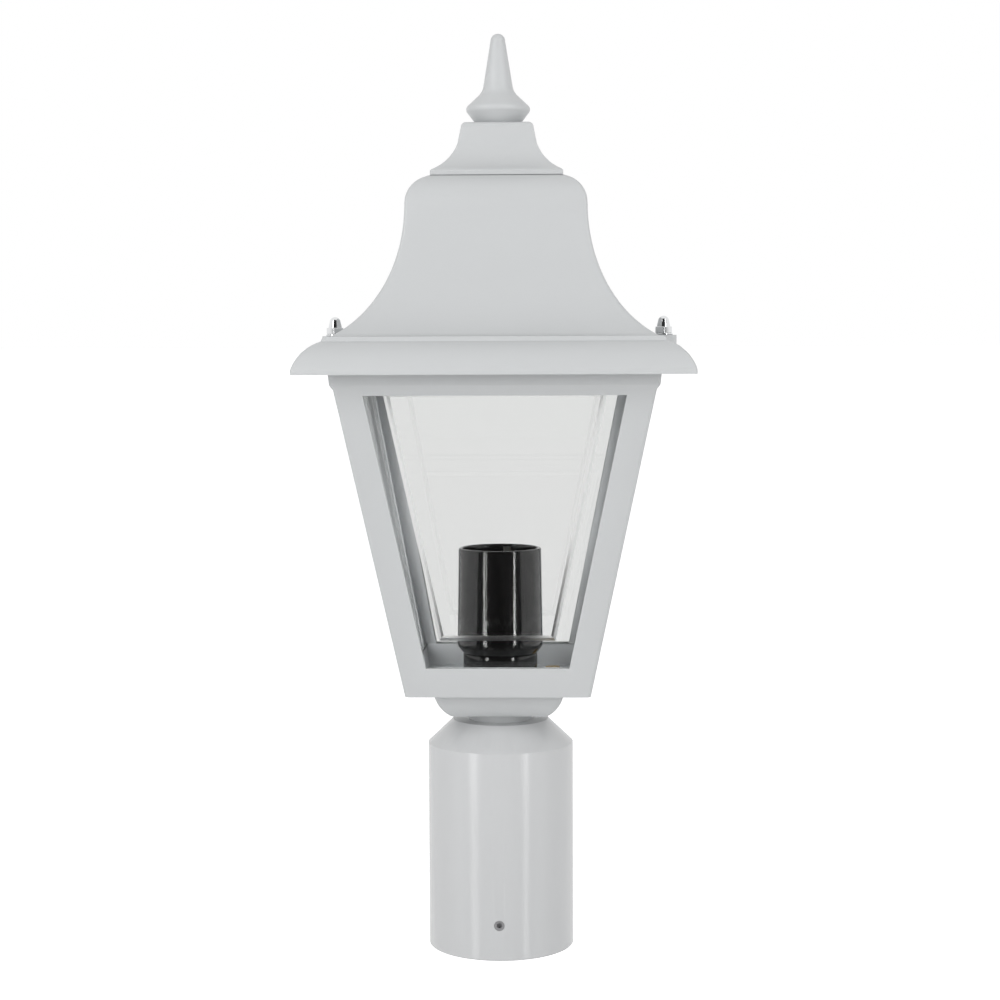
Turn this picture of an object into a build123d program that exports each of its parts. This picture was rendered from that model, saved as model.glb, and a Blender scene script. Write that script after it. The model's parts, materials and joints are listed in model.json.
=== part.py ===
"""Post top lantern: a square, tapered glass head with a bell roof and a finial, on a round post socket.

Millimetres, +Z up. The origin is the centre of the socket's open lower end, and -Y is the front.
The roof lifts straight up off two studs once its acorn nuts are off, and three grub screws
clamp the socket to a post.
"""
import os
from math import asin, atan, cos, degrees, radians, sin, sqrt, tan

from build123d import *

os.makedirs("parts", exist_ok=True)

# ---------------------------------------------------------------- driving dimensions
# W names are half-widths of square pieces, IN and OUT are steps in or out from the piece before.
# Fits
SLIP = 0.1                  # between pieces that are laid against each other
THREAD_GAP = 0.05           # radial, between a screw and its thread
HOLE_GAP = 0.3              # radial, round a screw that passes through
ROD_HOLE_GAP = 0.2          # radial, round the hollow rod
SQUARE_SPAN = 130.0         # half-length of the prisms that are crossed into square solids

# Post socket
SLEEVE_BORE_R = 30.5        # slips over a 60.3 mm post
SLEEVE_WALL = 5.5
SLEEVE_HEIGHT = 113.6
SLEEVE_CONE_HEIGHT = 11.7
SLEEVE_CONE_IN = 12.3
SLEEVE_BORE_STOP = 2.9      # the straight bore ends this far below the cone's foot
SLEEVE_TOP_PLATE = 6.0
SLEEVE_EDGE = 0.6           # chamfer on the lower rim

# Grub screws
GRUB_COUNT = 3
GRUB_R = 2.5
GRUB_SUNK = 0.35            # its socket end lies this far below the wall's face
GRUB_Z = 17.5
GRUB_TIP_GAP = 0.15         # its tip stands this far behind the bore's wall at rest
GRUB_KEY = 2.5              # across the flats of its hexagon socket
GRUB_KEY_DEPTH = 2.2

# Boss between the socket and the frame
NECK_R = 15.8
NECK_HEIGHT = 4.7
BOSS_FLANGE_IN = 10.0       # from the frame's foot
BOSS_FLANGE = 1.0
BOSS_BAND_IN = 3.3
BOSS_BAND = 1.5
BOSS_CURVE_IN = 7.2
BOSS_CURVE_HEIGHT = 10.3
BOSS_CURVE_BULGE = 1.1
BOSS_WALL = 4.5
BOSS_COLUMN_WALL = 3.8

# Frame
FRAME_HEIGHT = 157.8
FOOT_W = 44.5               # at the frame's lower edge
POST_TOP_W = 74.6           # where the posts meet the top band
POST_TOP_DROP = 9.9         # that place lies this far below the frame's top
BAND_STEP = 2.2             # height of the chamfer under the top band
BAND_STEP_OUT = 1.6
BAND_FLARE_OUT = 0.8
FRAME_WALL = 3.0
FRAME_FLOOR = 3.0
POST_FACE = 13.2            # how wide each leg of the angle-shaped posts is
RAIL_HEIGHT = 14.3
TOP_BAND = 12.5
GLASS_LEDGE_DROP = 2.1      # the ledge under the glass lies this far below the rail's edge
EAR_THICK = 2.0

# Glass
GLASS_THICK = 3.0
GROOVE_IN = 18.2            # from a pane's edge to the far side of its groove
GROOVE_WIDTH = 5.2
GROOVE_DEPTH = 1.0
GLASS_TOP_DROP = 2.8        # the panes' upper edges lie this far below the frame's top

# Corner strips that hold the glass
STRIP_THICK = 0.8
STRIP_TAB_EDGE = 1.2        # its hooked tab stops this far inside the frame's outer face

# Tray
TRAY_SHEET = 0.8
TRAY_LIP = 0.1              # its edge stops this far below the rail's edge

# Hollow rod and its nuts
ROD_BORE_R = 3.6
ROD_WALL = 1.4
ROD_BELOW = 2.0             # how far the rod stands out of the lower nut
ROD_IN_HOLDER = 5.5
ROD_NUT_AF = 14.0
LOWER_NUT = 5.0
UPPER_NUT = 2.6
LOWER_WASHER_R = 11.0
LOWER_WASHER = 1.2
UPPER_WASHER_R = 9.0
UPPER_WASHER = 0.8

# Earth screw
EARTH_PLACE = (26.0, 10.0)
EARTH_R = 2.0
EARTH_HEAD_R = 3.6
EARTH_HEAD = 2.4
EARTH_WASHER_R = 4.5
EARTH_WASHER = 0.8

# Lampholder, from the shell outwards
SHELL_R = 13.4              # bore of the threaded shell, for a 27 mm lamp cap
SHELL_THICK = 0.6
SHELL_LENGTH = 25.0
RING_WALL = 2.3
RING_HEIGHT = 16.0
RING_STEP = 3.6             # the shell stands on a step this high
RING_STEP_IN = 1.0
INSULATOR_OUT = 0.8
INSULATOR = 5.0
SKIRT_ROOM = 1.25           # between the insulator and the skirt's mouth
SKIRT_WALL = 2.0
SKIRT_TAPER = 0.75
SKIRT_OVER_SHELL = 9.5
SKIRT_CHAMFER = 3.6
SKIRT_CHAMFER_IN = 2.8
SKIRT_RING = 4.0            # thickness of the inward ring that grips the base's spigot
HOLDER_BASE_HEIGHT = 8.7
HOLDER_BASE_WALL = 3.0
HOLDER_SPIGOT_IN = 1.9
HOLDER_SPIGOT_HEIGHT = 9.0
CONTACT_R = 5.0
CONTACT_DISC = 0.8
CONTACT_HEIGHT = 3.2
CONTACT_PIP_R = 2.2
TERMINAL_ROOM = 1.0         # between a terminal block and the base's wall
TERMINAL_SIZE = 6.0
TERMINAL_HEIGHT = 9.0
TERMINAL_SCREW_R = 1.6
LOCK_WIDTH = 3.7
LOCK_THICK = 0.6
LOCK_BELOW_RIM = 1.3
LOCK_AZIMUTH = 80.0

# Roof studs and their nuts
STUD_OUT = 3.8              # from the frame's top band to the stud's centre
STUD_R = 2.5
STUD_IN_NUT = 5.0
EAR_WALL = 4.0
LOCKNUT = 2.2
NUT_AF = 8.0
NUT_HEX = 3.2
NUT_DOME = 5.3
NUT_DOME_IN = 0.65
NUT_DOME_TOP_R = 2.5
NUT_DOME_ROUND = 1.6
NUT_BORE = 5.6
NUT_WASHER_RIM = 2.0
NUT_WASHER = 0.9
NUT_TURN = 30.0             # a corner of the hexagon faces the front

# Finial
FINIAL_BEAD_R = 15.6
FINIAL_BEAD_OUT = 0.8       # the corner that the bead is rounded from stands this far out of it
FINIAL_BEAD_ROUND = 2.35
FINIAL_BEAD_RISE = 7.5
FINIAL_FOOT_IN = 4.9
FINIAL_NECK_R = 7.6
FINIAL_NECK_RISE = 8.27     # above the bead
FINIAL_NECK_ROUND = 8.0
FINIAL_SPIKE = 28.03        # above the neck
FINIAL_TIP_R = 3.6

# Crown cap, from the finial's seat outwards
CROWN_TOP_OUT = 1.9         # from the finial's bead
CROWN_ROUND = 2.6
CROWN_NECK = 10.5
CROWN_NECK_OUT = 1.6
CROWN_HEIGHT = 26.2
CROWN_FLARE_OUT = 12.6
CROWN_SAG = 1.75
CROWN_LIP = 2.0
CROWN_BREAK = 0.8
CROWN_WALL = 2.6

# Roof
GASKET = 1.5
GASKET_WIDTH = 3.0
SHOULDER_R = 14.0
BELL_TOP_OUT = 11.5         # from the crown cap's edge to the bell's top
BELL_HEIGHT = 62.5
BELL_SWEEP_BELOW = 4.5      # the bell's ellipse goes on this far below the ledge
BELL_FOOT_IN = 2.7          # from the ledge's edge
LEDGE_STEP = 2.1
LEDGE_STEP_IN = 1.0
LEDGE_IN = 1.3              # from the studs' centres to the step's foot
OVOLO_HEIGHT = 12.9
OVOLO_RUN = 12.7
OVOLO_BULGE = 2.2
LIP_HEIGHT = 2.2
LIP_BELOW_FRAME = 2.5       # the lip hangs this far below the frame's top
PAD_WALL = 3.6
ROOF_WALL = 2.8
RIM_WALL = 3.0

# What holds the finial and the crown cap
FINIAL_STUD_R = 3.0
FINIAL_STUD_BITE = 14.0
FINIAL_STUD_BELOW = 2.0
FINIAL_NUT_AF = 10.0
FINIAL_NUT = 5.0
FINIAL_WASHER_RIM = 3.0
FINIAL_WASHER = 1.2

# ---------------------------------------------------------------- heights that follow
SLEEVE_SHOULDER_Z = SLEEVE_HEIGHT - SLEEVE_CONE_HEIGHT
SLEEVE_BORE_TOP_Z = SLEEVE_SHOULDER_Z - SLEEVE_BORE_STOP
SLEEVE_PLATE_Z = SLEEVE_HEIGHT - SLEEVE_TOP_PLATE
BOSS_Z = SLEEVE_HEIGHT + NECK_HEIGHT
FRAME_Z = BOSS_Z + BOSS_CURVE_HEIGHT + BOSS_BAND + BOSS_FLANGE
FLOOR_TOP_Z = FRAME_Z + FRAME_FLOOR
FRAME_TOP_Z = FRAME_Z + FRAME_HEIGHT
POST_TOP_Z = FRAME_TOP_Z - POST_TOP_DROP
WINDOW_LOW_Z = FRAME_Z + RAIL_HEIGHT
WINDOW_TOP_Z = FRAME_TOP_Z - TOP_BAND
EAR_Z = FRAME_TOP_Z - EAR_THICK
GLASS_LEDGE_Z = WINDOW_LOW_Z - GLASS_LEDGE_DROP
TRAY_FLOOR_Z = FLOOR_TOP_Z + TRAY_SHEET
TRAY_TOP_Z = WINDOW_LOW_Z - TRAY_LIP
UPPER_WASHER_Z = TRAY_FLOOR_Z + UPPER_WASHER
HOLDER_Z = UPPER_WASHER_Z + UPPER_NUT
SPIGOT_Z = HOLDER_Z + HOLDER_BASE_HEIGHT
INSULATOR_Z = SPIGOT_Z + HOLDER_SPIGOT_HEIGHT
RING_Z = INSULATOR_Z + INSULATOR
RING_TOP_Z = RING_Z + RING_HEIGHT
SHELL_Z = RING_Z + RING_STEP
SHELL_TOP_Z = SHELL_Z + SHELL_LENGTH
SKIRT_TOP_Z = SHELL_TOP_Z + SKIRT_OVER_SHELL
ROOF_SEAT_Z = FRAME_TOP_Z + GASKET
LIP_Z = FRAME_TOP_Z - LIP_BELOW_FRAME
OVOLO_Z = LIP_Z + LIP_HEIGHT
LEDGE_STEP_Z = OVOLO_Z + OVOLO_HEIGHT
LEDGE_Z = LEDGE_STEP_Z + LEDGE_STEP
NUT_SEAT_Z = LEDGE_Z + NUT_WASHER
BELL_TOP_Z = LEDGE_Z + BELL_HEIGHT
ROOF_TOP_Z = BELL_TOP_Z + SHOULDER_R
CEILING_Z = ROOF_TOP_Z - ROOF_WALL
CROWN_TOP_Z = ROOF_TOP_Z + CROWN_HEIGHT
FINIAL_BEAD_Z = CROWN_TOP_Z + FINIAL_BEAD_RISE
FINIAL_NECK_Z = FINIAL_BEAD_Z + FINIAL_NECK_RISE
TIP_Z = FINIAL_NECK_Z + FINIAL_SPIKE

# ---------------------------------------------------------------- widths that follow
SLEEVE_R = SLEEVE_BORE_R + SLEEVE_WALL
SLEEVE_FLAT_R = SLEEVE_R - SLEEVE_CONE_IN
GRUB_TIP_R = SLEEVE_BORE_R + GRUB_TIP_GAP
GRUB_END_R = SLEEVE_R - GRUB_SUNK
BOSS_FLANGE_W = FOOT_W - BOSS_FLANGE_IN
BOSS_TOP_W = BOSS_FLANGE_W - BOSS_BAND_IN
BOSS_BOTTOM_W = BOSS_TOP_W - BOSS_CURVE_IN
ROD_R = ROD_BORE_R + ROD_WALL
ROD_HOLE_R = ROD_R + ROD_HOLE_GAP
BAND_LOW_W = POST_TOP_W + BAND_STEP_OUT
BAND_TOP_W = BAND_LOW_W + BAND_FLARE_OUT
TAB_W = BAND_TOP_W - STRIP_TAB_EDGE
STUD_X = BAND_TOP_W + STUD_OUT
EAR_R = STUD_R + EAR_WALL
PAD_R = STUD_R + HOLE_GAP + PAD_WALL
NUT_WASHER_R = STUD_R + NUT_WASHER_RIM
NUT_DOME_R = NUT_AF / 2 - NUT_DOME_IN
OVOLO_TOP_W = STUD_X - LEDGE_IN
LIP_W = OVOLO_TOP_W + OVOLO_RUN
LEDGE_W = OVOLO_TOP_W - LEDGE_STEP_IN
BELL_FOOT_W = LEDGE_W - BELL_FOOT_IN
FINIAL_FOOT_R = FINIAL_BEAD_R - FINIAL_FOOT_IN
FINIAL_WASHER_R = FINIAL_STUD_R + FINIAL_WASHER_RIM
CROWN_TOP_W = FINIAL_BEAD_R + CROWN_TOP_OUT
CROWN_WAIST_W = CROWN_TOP_W + CROWN_NECK_OUT
CROWN_W = CROWN_WAIST_W + CROWN_FLARE_OUT
BELL_TOP_W = CROWN_W + BELL_TOP_OUT
BELL_SWEEP_H = BELL_HEIGHT + BELL_SWEEP_BELOW
BELL_SWEEP_W = (BELL_FOOT_W - BELL_TOP_W) / (1 - sqrt(1 - (BELL_HEIGHT / BELL_SWEEP_H) ** 2))
RING_R = SHELL_R + SHELL_THICK + SLIP + RING_WALL
RING_STEP_R = SHELL_R - RING_STEP_IN
INSULATOR_R = RING_R + INSULATOR_OUT
SKIRT_TOP_R = INSULATOR_R + SKIRT_ROOM + SKIRT_WALL
SKIRT_LOW_R = SKIRT_TOP_R + SKIRT_TAPER
HOLDER_BASE_R = SKIRT_LOW_R - SKIRT_CHAMFER_IN
HOLDER_SPIGOT_R = HOLDER_BASE_R - HOLDER_SPIGOT_IN
TERMINAL_X = HOLDER_SPIGOT_R - HOLDER_BASE_WALL - TERMINAL_ROOM - TERMINAL_SIZE / 2

TAPER = (POST_TOP_W - FOOT_W) / (POST_TOP_Z - FRAME_Z)   # the frame widens by this per millimetre up
TILT = atan(TAPER)
GLASS_LOW_Z = GLASS_LEDGE_Z + SLIP + GLASS_THICK * sin(TILT)
GLASS_TOP_Z = FRAME_TOP_Z - GLASS_TOP_DROP
GLASS_FRONT = FRAME_WALL + SLIP / cos(TILT)      # horizontal distances in from the frame's face
GLASS_BACK = GLASS_FRONT + GLASS_THICK / cos(TILT)
STRIP_FRONT = GLASS_BACK + SLIP
STRIP_BACK = STRIP_FRONT + STRIP_THICK
CORNER_RIB = STRIP_FRONT - SLIP                  # the posts are solid in the corner down to here
GLASS_SIDE = STRIP_FRONT + SLIP + GLASS_THICK * sin(TILT) * TAPER
TRAY_SIDE = STRIP_BACK + SLIP


# ---------------------------------------------------------------- helpers
def frame_w(z):
    """Half-width of the tapered frame at a height."""
    return FOOT_W + TAPER * (z - FRAME_Z)


def section(*curves):
    """A flat face of (half-width, height) from curves that close on the axis."""
    edges = [edge for curve in curves for edge in curve.edges()]
    return make_face(edges)


def straight(*points):
    """A flat face of (half-width, height) with straight sides."""
    return make_face(Polyline(*points, close=True))


def band(low_z, top_z, inset):
    """A (half-width, height) face that follows the frame's taper, set in by a distance."""
    return straight((0, low_z), (frame_w(low_z) - inset, low_z),
                    (frame_w(top_z) - inset, top_z), (0, top_z))


def prism(face):
    """A (half-width, height) face, mirrored and extruded through the lantern from front to back."""
    half = extrude(Plane.XZ * face, amount=SQUARE_SPAN, both=True)
    return half + mirror(half, about=Plane.YZ)


def crossed(face, other=None):
    """A solid that is square in plan: a prism crossed with another turned by a quarter."""
    return prism(face) & prism(other or face).rotate(Axis.Z, 90)


def turned(face):
    """A (radius, height) face turned about the vertical axis."""
    return revolve(Plane.XZ * face, Axis.Z)


def pillar(radius, low_z, top_z):
    """An upright cylinder on the axis."""
    place = Pos(0, 0, low_z)
    return place * Cylinder(radius, top_z - low_z, align=(Align.CENTER, Align.CENTER, Align.MIN))


def tube(outer, inner, low_z, top_z):
    """An upright ring on the axis."""
    return pillar(outer, low_z, top_z) - pillar(inner, low_z, top_z)


def block(low, high):
    """A box between two corners."""
    size = [b - a for a, b in zip(low, high)]
    return Pos(*low) * Box(*size, align=(Align.MIN, Align.MIN, Align.MIN))


def hexagon(across_flats, low_z, top_z, turn=0.0):
    """An upright hexagonal bar on the axis."""
    flat = RegularPolygon(across_flats / 2, 6, major_radius=False, rotation=turn)
    return extrude(Pos(0, 0, low_z) * flat, amount=top_z - low_z)


def hex_nut(across_flats, bore_r, low_z, top_z, turn=0.0):
    """A plain hexagon nut with its corners turned off."""
    height = top_z - low_z
    corner_r = across_flats / sqrt(3)
    drop = (corner_r - across_flats / 2) * tan(radians(30))
    blank = turned(straight((0, low_z), (across_flats / 2, low_z), (corner_r, low_z + drop),
                            (corner_r, top_z - drop), (across_flats / 2, top_z), (0, top_z)))
    nut = hexagon(across_flats, low_z, low_z + height, turn) & blank
    return nut - pillar(bore_r, low_z, top_z)


def radial(shape, azimuth, z):
    """A piece built along +Z from the axis, laid outwards along an azimuth at a height."""
    return Pos(0, 0, z) * Rot(0, 0, azimuth) * Rot(0, 90, 0) * shape


def dome_arc(rim_r, rim_z, top_z):
    """A round cap's profile, from its rim to its top on the axis."""
    rise = top_z - rim_z
    ball_r = (rim_r ** 2 + rise ** 2) / (2 * rise)
    half = asin(min(1.0, rim_r / ball_r)) / 2
    middle = (ball_r * sin(half), top_z - ball_r * (1 - cos(half)))
    return ThreePointArc((rim_r, rim_z), middle, (0, top_z))


def corner(face, point):
    """The corner of a flat face that lies at a place."""
    return face.vertices().sort_by_distance(Vector(*point))[0]


# ---------------------------------------------------------------- post socket
def grub_azimuths():
    """The grub screws' directions, with the first at the front."""
    return [-90 + 360 * i / GRUB_COUNT for i in range(GRUB_COUNT)]


def post_sleeve():
    """The cast socket: a straight bore, a cone and a flat top with the rod's hole."""
    cone_r = SLEEVE_BORE_R - (SLEEVE_PLATE_Z - SLEEVE_BORE_TOP_Z) * SLEEVE_CONE_IN / SLEEVE_CONE_HEIGHT
    outer = straight((0, 0), (SLEEVE_R - SLEEVE_EDGE, 0), (SLEEVE_R, SLEEVE_EDGE),
                     (SLEEVE_R, SLEEVE_SHOULDER_Z), (SLEEVE_FLAT_R, SLEEVE_HEIGHT), (0, SLEEVE_HEIGHT))
    bore = straight((0, 0), (SLEEVE_BORE_R, 0), (SLEEVE_BORE_R, SLEEVE_BORE_TOP_Z),
                    (cone_r, SLEEVE_PLATE_Z), (0, SLEEVE_PLATE_Z))
    body = turned(outer) - turned(bore) - pillar(ROD_HOLE_R, 0, SLEEVE_HEIGHT)
    hole = pillar(GRUB_R + THREAD_GAP, SLEEVE_BORE_R - SLEEVE_EDGE, SLEEVE_R + SLEEVE_EDGE)
    for azimuth in grub_azimuths():
        body -= radial(hole, azimuth, GRUB_Z)
    return body


def grub_screw(azimuth):
    """A short socket-head grub screw, just behind the bore's wall and below the socket's face."""
    screw = pillar(GRUB_R, GRUB_TIP_R, GRUB_END_R)
    screw = chamfer(screw.edges().group_by(Axis.Z)[0], GRUB_TIP_GAP)
    screw -= hexagon(GRUB_KEY, GRUB_END_R - GRUB_KEY_DEPTH, GRUB_END_R)
    return radial(screw, azimuth, GRUB_Z)


# ---------------------------------------------------------------- boss under the frame
def base_boss():
    """The square boss with a rounded side, its round neck below and a hollow underneath the frame."""
    curve_top = BOSS_Z + BOSS_CURVE_HEIGHT
    band_top = curve_top + BOSS_BAND
    chord = sqrt(BOSS_CURVE_IN ** 2 + BOSS_CURVE_HEIGHT ** 2)
    bulge_w = (BOSS_TOP_W + BOSS_BOTTOM_W) / 2 + BOSS_CURVE_BULGE * BOSS_CURVE_HEIGHT / chord
    bulge_z = (BOSS_Z + curve_top) / 2 - BOSS_CURVE_BULGE * BOSS_CURVE_IN / chord
    outer = section(
        Polyline((0, BOSS_Z), (BOSS_BOTTOM_W, BOSS_Z)),
        ThreePointArc((BOSS_BOTTOM_W, BOSS_Z), (bulge_w, bulge_z), (BOSS_TOP_W, curve_top)),
        Polyline((BOSS_TOP_W, curve_top), (BOSS_TOP_W, band_top), (BOSS_FLANGE_W, band_top),
                 (BOSS_FLANGE_W, FRAME_Z), (0, FRAME_Z), (0, BOSS_Z)))
    inner = straight((0, BOSS_Z + BOSS_WALL), (BOSS_BOTTOM_W - BOSS_WALL, BOSS_Z + BOSS_WALL),
                     (BOSS_TOP_W - BOSS_WALL, curve_top), (BOSS_TOP_W - BOSS_WALL, FRAME_Z), (0, FRAME_Z))
    body = crossed(outer) - crossed(inner) + pillar(ROD_HOLE_R + BOSS_COLUMN_WALL, BOSS_Z, FRAME_Z)
    body += pillar(NECK_R, SLEEVE_HEIGHT, BOSS_Z)
    return body - pillar(ROD_HOLE_R, SLEEVE_HEIGHT, FRAME_Z)


# ---------------------------------------------------------------- frame
def stud_places():
    """Left and right studs."""
    return [Pos(side * STUD_X, 0, 0) for side in (-1, 1)]


def frame_cage():
    """The cast frame: angle-shaped posts, a bottom rail with a floor, and a top band with two ears."""
    outer = straight((0, FRAME_Z), (FOOT_W, FRAME_Z), (POST_TOP_W, POST_TOP_Z),
                     (BAND_LOW_W, POST_TOP_Z + BAND_STEP), (BAND_TOP_W, FRAME_TOP_Z), (0, FRAME_TOP_Z))
    body = crossed(outer)
    wide = band(GLASS_LEDGE_Z, FRAME_TOP_Z, FRAME_WALL)
    narrow = band(GLASS_LEDGE_Z, FRAME_TOP_Z, CORNER_RIB)
    body -= crossed(wide, narrow) + crossed(narrow, wide)
    body -= crossed(band(FLOOR_TOP_Z, GLASS_LEDGE_Z, STRIP_BACK))
    window = prism(band(WINDOW_LOW_Z, WINDOW_TOP_Z, POST_FACE))
    body -= window + window.rotate(Axis.Z, 90)
    wall_w = BAND_LOW_W - FRAME_WALL / 2
    for side, place in zip((-1, 1), stud_places()):
        inner_x, outer_x = sorted((side * wall_w, side * STUD_X))
        ear = place * pillar(EAR_R, EAR_Z, FRAME_TOP_Z)
        ear += block((inner_x, -EAR_R, EAR_Z), (outer_x, EAR_R, FRAME_TOP_Z))
        body += ear
        body -= place * pillar(STUD_R + THREAD_GAP, EAR_Z, FRAME_TOP_Z)
    tab_z = FRAME_TOP_Z - STRIP_THICK - SLIP
    recess_w = TAB_W + SLIP
    recess = crossed(straight((0, tab_z), (recess_w, tab_z), (recess_w, FRAME_TOP_Z), (0, FRAME_TOP_Z)))
    middle = prism(band(tab_z, FRAME_TOP_Z, POST_FACE))
    body -= recess - middle - middle.rotate(Axis.Z, 90)
    return body - pillar(ROD_HOLE_R, FRAME_Z, FLOOR_TOP_Z)


# ---------------------------------------------------------------- glass and its corner strips
def glass_pane(turn):
    """A clear pane, wider at the top, with a mitred V-groove cut round its outer face."""
    middle_z = (GLASS_LOW_Z + GLASS_TOP_Z) / 2
    rise = (GLASS_TOP_Z - GLASS_LOW_Z) / cos(TILT) / 2
    low_w = frame_w(GLASS_LOW_Z) - GLASS_SIDE
    top_w = frame_w(GLASS_TOP_Z) - GLASS_SIDE
    full = make_face(Polyline((-low_w, -rise), (low_w, -rise), (top_w, rise), (-top_w, rise), close=True))
    near, root, far = [offset(full, step - GROOVE_IN, kind=Kind.INTERSECTION)
                       for step in (GROOVE_WIDTH, GROOVE_WIDTH / 2, 0)]
    bottom = Pos(0, 0, GLASS_THICK - GROOVE_DEPTH) * root
    outward = loft([bottom, Pos(0, 0, GLASS_THICK) * near], ruled=True)
    inward = loft([bottom, Pos(0, 0, GLASS_THICK) * far], ruled=True)
    pane = extrude(full, amount=GLASS_THICK) - (outward - inward)
    back_y = frame_w(middle_z) - GLASS_BACK
    lie = Plane(origin=(0, -back_y, middle_z), x_dir=(1, 0, 0), z_dir=(0, -cos(TILT), -cos(TILT) * TAPER))
    return (lie * pane).rotate(Axis.Z, turn)


def corner_strips():
    """Four angle strips that hold the panes' sides. Each stands on the rail behind the tray's wall
    and hooks over the frame's corner, under the gasket."""
    low_z = GLASS_LEDGE_Z + SLIP
    tab_z = FRAME_TOP_Z - STRIP_THICK
    outer = straight((0, low_z), (frame_w(low_z) - STRIP_FRONT, low_z),
                     (frame_w(tab_z) - STRIP_FRONT, tab_z), (TAB_W, tab_z),
                     (TAB_W, FRAME_TOP_Z), (0, FRAME_TOP_Z))
    ring = crossed(outer) - crossed(band(low_z, FRAME_TOP_Z, STRIP_BACK))
    gap = prism(band(low_z, FRAME_TOP_Z, POST_FACE - SLIP))
    return (ring - gap - gap.rotate(Axis.Z, 90)).solids()


# ---------------------------------------------------------------- tray, rod and earth screw
def lamp_tray():
    """A bright sheet-metal tray inside the bottom rail."""
    outer = crossed(band(FLOOR_TOP_Z, TRAY_TOP_Z, TRAY_SIDE))
    inner = crossed(band(TRAY_FLOOR_Z, TRAY_TOP_Z, TRAY_SIDE + TRAY_SHEET))
    tray = outer - inner - pillar(ROD_HOLE_R, FLOOR_TOP_Z, TRAY_FLOOR_Z)
    return tray - Pos(*EARTH_PLACE) * pillar(EARTH_R + HOLE_GAP, FLOOR_TOP_Z, TRAY_FLOOR_Z)


def hollow_rod():
    """The threaded tube that clamps the head to the socket and lets the leads through."""
    low_z = SLEEVE_PLATE_Z - LOWER_WASHER - LOWER_NUT - ROD_BELOW
    return tube(ROD_R, ROD_BORE_R, low_z, HOLDER_Z + ROD_IN_HOLDER)


def rod_lower_washer():
    return tube(LOWER_WASHER_R, ROD_HOLE_R, SLEEVE_PLATE_Z - LOWER_WASHER, SLEEVE_PLATE_Z)


def rod_lower_nut():
    top_z = SLEEVE_PLATE_Z - LOWER_WASHER
    return hex_nut(ROD_NUT_AF, ROD_R + THREAD_GAP, top_z - LOWER_NUT, top_z)


def rod_upper_washer():
    return tube(UPPER_WASHER_R, ROD_HOLE_R, TRAY_FLOOR_Z, UPPER_WASHER_Z)


def rod_upper_nut():
    return hex_nut(ROD_NUT_AF, ROD_R + THREAD_GAP, UPPER_WASHER_Z, HOLDER_Z)


def earth_washer():
    ring = tube(EARTH_WASHER_R, EARTH_R + HOLE_GAP, TRAY_FLOOR_Z, TRAY_FLOOR_Z + EARTH_WASHER)
    return Pos(*EARTH_PLACE) * ring


def earth_screw():
    """A cheese-head screw with a slot, down through the tray and into the frame's floor hole."""
    seat = TRAY_FLOOR_Z + EARTH_WASHER
    screw = pillar(EARTH_R, FLOOR_TOP_Z, seat) + pillar(EARTH_HEAD_R, seat, seat + EARTH_HEAD)
    slot = block((-EARTH_HEAD_R, -EARTH_R / 4, seat + EARTH_HEAD / 2),
                 (EARTH_HEAD_R, EARTH_R / 4, seat + EARTH_HEAD))
    return Pos(*EARTH_PLACE) * (screw - slot)


# ---------------------------------------------------------------- lampholder
def holder_base():
    """The moulded lower half of the lampholder, hollow for the terminals."""
    floor_z = HOLDER_Z + HOLDER_BASE_WALL
    body = pillar(HOLDER_BASE_R, HOLDER_Z, SPIGOT_Z) + pillar(HOLDER_SPIGOT_R, SPIGOT_Z, INSULATOR_Z)
    body -= pillar(HOLDER_SPIGOT_R - HOLDER_BASE_WALL, floor_z, INSULATOR_Z)
    return body - pillar(ROD_R + THREAD_GAP, HOLDER_Z, floor_z)


def holder_skirt():
    """The glossy outer skirt with its chamfered foot and open mouth."""
    foot_r = HOLDER_BASE_R + SLIP
    outer = straight((0, SPIGOT_Z), (foot_r, SPIGOT_Z), (SKIRT_LOW_R, SPIGOT_Z + SKIRT_CHAMFER),
                     (SKIRT_TOP_R, SKIRT_TOP_Z), (0, SKIRT_TOP_Z))
    ring_top = SPIGOT_Z + SKIRT_RING
    inner = straight((0, ring_top), (SKIRT_LOW_R - SKIRT_WALL, ring_top),
                     (SKIRT_TOP_R - SKIRT_WALL, SKIRT_TOP_Z), (0, SKIRT_TOP_Z))
    return turned(outer) - turned(inner) - pillar(HOLDER_SPIGOT_R + SLIP, SPIGOT_Z, ring_top)


def contact_carrier():
    """The insulating disc and ring that carry the threaded shell and the contacts."""
    body = pillar(INSULATOR_R, INSULATOR_Z, RING_Z)
    body += tube(RING_R, RING_STEP_R, RING_Z, SHELL_Z)
    return body + tube(RING_R, RING_R - RING_WALL, SHELL_Z, RING_TOP_Z)


def lamp_shell():
    """The plated shell that takes the lamp's cap."""
    return tube(SHELL_R + SHELL_THICK, SHELL_R, SHELL_Z, SHELL_TOP_Z)


def centre_contact():
    """The brass contact at the bottom of the shell."""
    disc = pillar(CONTACT_R, RING_Z, RING_Z + CONTACT_DISC)
    pip = Cone(CONTACT_R - SLIP, CONTACT_PIP_R, CONTACT_HEIGHT - CONTACT_DISC,
               align=(Align.CENTER, Align.CENTER, Align.MIN))
    return disc + Pos(0, 0, RING_Z + CONTACT_DISC) * pip


def holder_terminals():
    """Two brass terminal blocks under the carrier, each with a screw hole in its side."""
    half = TERMINAL_SIZE / 2
    blocks = []
    for side in (-1, 1):
        one = block((-half, -half, INSULATOR_Z - TERMINAL_HEIGHT), (half, half, INSULATOR_Z))
        one -= Pos(0, 0, INSULATOR_Z - TERMINAL_HEIGHT) * Cylinder(
            TERMINAL_SCREW_R, TERMINAL_HEIGHT, align=(Align.CENTER, Align.CENTER, Align.MIN))
        blocks.append(Pos(side * TERMINAL_X, 0, 0) * one)
    return Compound(blocks)


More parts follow.
